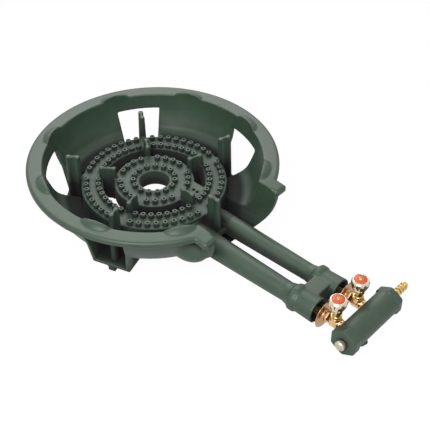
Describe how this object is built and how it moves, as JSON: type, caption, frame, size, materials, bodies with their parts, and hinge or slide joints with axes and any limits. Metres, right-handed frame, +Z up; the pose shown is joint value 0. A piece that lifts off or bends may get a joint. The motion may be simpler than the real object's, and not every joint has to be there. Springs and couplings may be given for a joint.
{
  "type": "cast iron gas stove",
  "caption": "Low cast iron gas stove: a windshield bowl on short legs, flat burner rings of raised jets, and mixing tubes with air shutters and needle valves on a manifold with a hose barb.",
  "frame": {"origin": "middle of the footprint on the floor", "axes": "+X from the burner bowl along the mixing tubes to the manifold, +Y towards the hose barb, +Z up"},
  "size_m": [0.5742, 0.36, 0.11],
  "materials": {
    "painted_iron": "semi-gloss dark green paint over a cast skin",
    "brass": "machined brass, warm and slightly dull",
    "chrome": "bright plating on cast zinc",
    "red_cap": "orange-red lacquer",
    "steel": "dull zinc plating",
    "packing": "black graphited packing"
  },
  "bodies": {
    "stove": {"windshield_stand": "painted_iron", "stand_legs": "painted_iron", "outer_ring": "painted_iron", "inner_ring": "painted_iron", "outer_tube": "painted_iron", "inner_tube": "painted_iron", "outer_mouth": "painted_iron", "inner_mouth": "painted_iron", "tube_webs": "painted_iron", "front_foot": "painted_iron", "outer_fins": "painted_iron", "inner_fins": "painted_iron", "outer_jets": "painted_iron", "inner_jets": "painted_iron", "burner_bolts": "steel", "manifold": "painted_iron", "manifold_plug": "steel", "hose_barb": "brass", "outer_nozzle": "brass", "outer_lock_nut": "brass", "outer_valve_body": "brass", "outer_bonnet": "brass", "outer_packing": "packing", "outer_gland_nut": "brass", "inner_nozzle": "brass", "inner_lock_nut": "brass", "inner_valve_body": "brass", "inner_bonnet": "brass", "inner_packing": "packing", "inner_gland_nut": "brass"},
    "outer_valve_disc": {"outer_jumper": "brass"},
    "outer_handle": {"outer_spindle": "brass", "outer_knob": "chrome", "outer_knob_cap": "red_cap", "outer_knob_screw": "steel"},
    "outer_shutter": {"outer_air_shutter": "brass"},
    "inner_valve_disc": {"inner_jumper": "brass"},
    "inner_handle": {"inner_spindle": "brass", "inner_knob": "chrome", "inner_knob_cap": "red_cap", "inner_knob_screw": "steel"},
    "inner_shutter": {"inner_air_shutter": "brass"}
  },
  "joints": [
    {"name": "outer_valve_lift", "type": "slide", "parent": "stove", "child": "outer_valve_disc", "axis": [0, 0, 1], "range_m": [0, 0.00187]},
    {"name": "outer_knob_turn", "type": "hinge", "parent": "outer_valve_disc", "child": "outer_handle", "pos_m": [0.2419, -0.0235, 0.067], "axis": [0, 0, 1], "range_deg": [0, 540]},
    {"name": "outer_shutter_slide", "type": "slide", "parent": "stove", "child": "outer_shutter", "axis": [-1, 0, 0], "range_m": [0, 0.008]},
    {"name": "inner_valve_lift", "type": "slide", "parent": "stove", "child": "inner_valve_disc", "axis": [0, 0, 1], "range_m": [0, 0.00187]},
    {"name": "inner_knob_turn", "type": "hinge", "parent": "inner_valve_disc", "child": "inner_handle", "pos_m": [0.2419, 0.0235, 0.067], "axis": [0, 0, 1], "range_deg": [0, 540]},
    {"name": "inner_shutter_slide", "type": "slide", "parent": "stove", "child": "inner_shutter", "axis": [-1, 0, 0], "range_m": [0, 0.008]}
  ],
  "couplings": [
    {"joint": "outer_knob_turn", "follows": "outer_valve_lift", "rad_per_m": 5026.5},
    {"joint": "inner_knob_turn", "follows": "inner_valve_lift", "rad_per_m": 5026.5}
  ]
}
